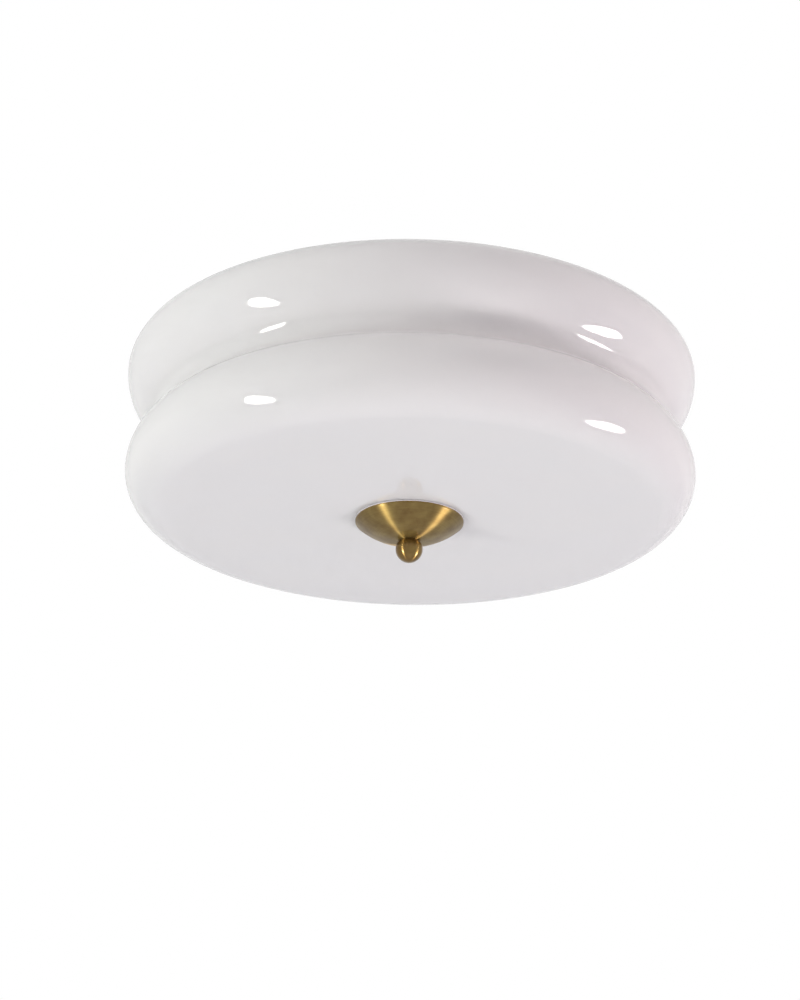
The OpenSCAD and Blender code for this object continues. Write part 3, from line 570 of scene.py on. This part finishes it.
def makeLampholders(h):
    base, barrel, length, floor = h["baseR"], h["barrelR"], h["length"], h["floor"]
    line = [(axisRadius, 0), (base - h["edge"], 0), (base, h["edge"]), (base, floor - h["flare"]),
            (barrel, floor + h["flare"]), (barrel, length - h["edge"]), (barrel - h["edge"], length),
            (h["socketR"], length), (h["socketR"], floor), (axisRadius, floor)]
    first = lathe("lampholder1", line, h["steps"])
    softenRings(first, line[1:8], h["round"], 3)
    shade(first, h["sharp"])
    dress(first, glazedPorcelain)
    holders = [first, copyOf(first, "lampholder2"), copyOf(first, "lampholder3")]
    for number, piece in enumerate(holders, 1):
        seat(piece, lampPlace(number))
        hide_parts("lampholder_" + str(number))
        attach(piece, "mount")


makeLampholders(holderSizes)
print("lampholders turned")


# finishes of the frame's own nodes; a name that ends in _ stands for its numbered nodes
finishes = {
    "ceiling_pan": stovedEnamel, "pan_gasket": cellFoam, "mounting_bar": zincPlate,
    "bar_studs": zincPlate, "stud_nuts": zincPlate, "centre_rod": threadedSteel,
    "rod_nuts": zincPlate, "rod_washers": zincPlate, "bracket_": zincPlate,
    "bracket_rivets": zincPlate, "holder_screws": zincPlate, "lampholder_": glazedPorcelain,
    "holder_sleeve_": stampedBrass, "holder_contact_": stampedBrass, "bulb_": powderedGlass,
    "bulb_cap_": rolledAluminium, "bulb_insulator_": blackGlass, "bulb_contact_": tinSolder,
    "shade_bush": mouldedNylon, "terminal_block": mouldedNylon, "terminal_tubes": stampedBrass,
    "terminal_screws": zincPlate, "block_screws": zincPlate, "earth_screw": zincPlate,
    "earth_nut": zincPlate, "earth_tag": zincPlate, "cable_grommet": mouldedRubber,
    "live_wires": brownInsulation, "neutral_wires": blueInsulation, "earth_wire": greenInsulation,
    "shade": opalGlass, "finial_cap": spunBrass, "finial_knob": turnedBrass,
    "cap_seal": milkySilicone}
# the bodies of the nodes that aren't on the mount
bodyOf = {"shade_bush": "glass"}
for number in (1, 2, 3):
    for part in ("bulb_insulator_", "bulb_contact_"):
        bodyOf[part + str(number)] = "lamp_" + str(number) + "_base"
    for part in ("bulb_", "bulb_cap_"):
        bodyOf[part + str(number)] = "lamp_" + str(number)
# nodes whose visual piece was made above
remade = (
    "shade", "finial_cap", "finial_knob", "cap_seal", "lampholder_1", "lampholder_2", "lampholder_3")


# points closer than joinBelow, in mm, become one; edges sharper than sharpAbove, in degrees, stay sharp
copyRules = {"joinBelow": 0.002, "sharpAbove": 28}


def smoothCopy(nodeName, material):
    # a CAD node's copy with its loose triangles joined and its round faces smooth
    name = "".join(word.capitalize() for word in nodeName.split("_"))
    piece = copyOf(nodes[nodeName], name[0].lower() + name[1:])
    editElements(piece, "VERT", "SELECT")
    bpy.ops.mesh.remove_doubles(threshold=copyRules["joinBelow"] * mm)
    bpy.ops.mesh.normals_make_consistent(inside=False)
    objectMode()
    shade(piece, copyRules["sharpAbove"])
    bpy.ops.object.modifier_add(type="WEIGHTED_NORMAL")
    weighted = piece.modifiers[-1]
    weighted.keep_sharp = True
    bpy.ops.object.modifier_apply(modifier=weighted.name)
    dress(piece, material)
    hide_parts(nodeName)
    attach(piece, bodyOf.get(nodeName, "mount"))


for nodeName in list(nodes):
    key = nodeName if nodeName in finishes else nodeName.rstrip("0123456789")
    dress(nodes[nodeName], finishes[key])
    if nodeName not in remade:
        smoothCopy(nodeName, finishes[key])
print("frame nodes dressed")


# studio: pale floor far below, two tall lamps that show in the gloss, two wide ones that don't
studio = {
    "floorDrop": 2.3,         # m below the ceiling
    "floorSize": 60,          # m
    "ambient": 0.72,          # strength of the white surroundings as a light
    "reflected": 0.8,         # and in a gloss; they are pure white in view
    "lamps": [
        # azimuth from the near side towards +X, elevation, distance, width, height, watts, colour,
        # and whether it is seen in the gloss
        ("keyLamp", -62.3, -27.7, 2.0, 0.30, 0.86, 18, "fffdf8", True),
        ("fillLamp", 91.6, -35.3, 2.0, 0.42, 0.68, 18, "fff6f7", True),
        ("leftPanel", -40, 5, 2.5, 1.8, 1.8, 8, "fffff6", False),
        ("rightPanel", 50, 5, 2.5, 1.8, 1.8, 9, "ffc4d0", False)]}


def makeLamp(name, azimuth, elevation, distance, width, height, watts, colour, inGloss):
    a, e = math.radians(azimuth), math.radians(elevation)
    toLamp = Vector((math.cos(e) * math.sin(a), -math.cos(e) * math.cos(a), math.sin(e)))
    data = bpy.data.lights.new(name, "AREA")
    data.shape = "ELLIPSE"
    data.size, data.size_y = width, height
    data.energy = watts
    data.color = srgb(colour)[:3]
    lamp = bpy.data.objects.new(name, data)
    bpy.context.scene.collection.objects.link(lamp)
    lamp.location = Vector((0, 0, undersideZ)) + toLamp * distance
    lamp.rotation_euler = (-toLamp).to_track_quat("-Z", "Y").to_euler()
    lamp.visible_camera = False
    lamp.visible_glossy = inGloss


def makeStudio(s):
    for lamp in s["lamps"]:
        makeLamp(*lamp)
    deselect()
    bpy.ops.mesh.primitive_plane_add(size=s["floorSize"], location=(0, 0, -s["floorDrop"]))
    floor = bpy.context.object
    floor.name = "studioFloor"
    paint = bpy.data.materials.new("studio floor, matt white")
    paint.use_nodes = True
    tree = paint.node_tree
    tree.nodes.clear()
    grain = noise(tree, addNode(tree, "ShaderNodeTexCoord").outputs["Object"], 400)
    tint = blendColours(tree, spread(tree, grain, 0.3, 0.7), "ebecf0", "e8e9ee")
    matt = addNode(tree, "ShaderNodeBsdfDiffuse", links={"Color": tint})
    addNode(tree, "ShaderNodeOutputMaterial", links={"Surface": matt.outputs[0]})
    dress(floor, paint)

    world = bpy.data.worlds.new("studioWhite")
    bpy.context.scene.world = world
    world.use_nodes = True
    tree = world.node_tree
    tree.nodes.clear()
    path = addNode(tree, "ShaderNodeLightPath")
    camera, through = path.outputs["Is Camera Ray"], path.outputs["Is Transmission Ray"]
    shown = addNode(tree, "ShaderNodeMath", links={0: camera, 1: through}, operation="MAXIMUM").outputs[0]
    lit = spread(tree, path.outputs["Is Glossy Ray"], 0, 1, s["ambient"], s["reflected"])
    strength = addNode(tree, "ShaderNodeMath", links={0: shown, 1: lit}, operation="MAXIMUM").outputs[0]
    sky = addNode(tree, "ShaderNodeBackground", {"Color": srgb("ffffff")}, {"Strength": strength})
    addNode(tree, "ShaderNodeOutputWorld", links={"Surface": sky.outputs[0]})


makeStudio(studio)
bpy.context.scene.view_settings.view_transform = "Standard"
print("studio ready")
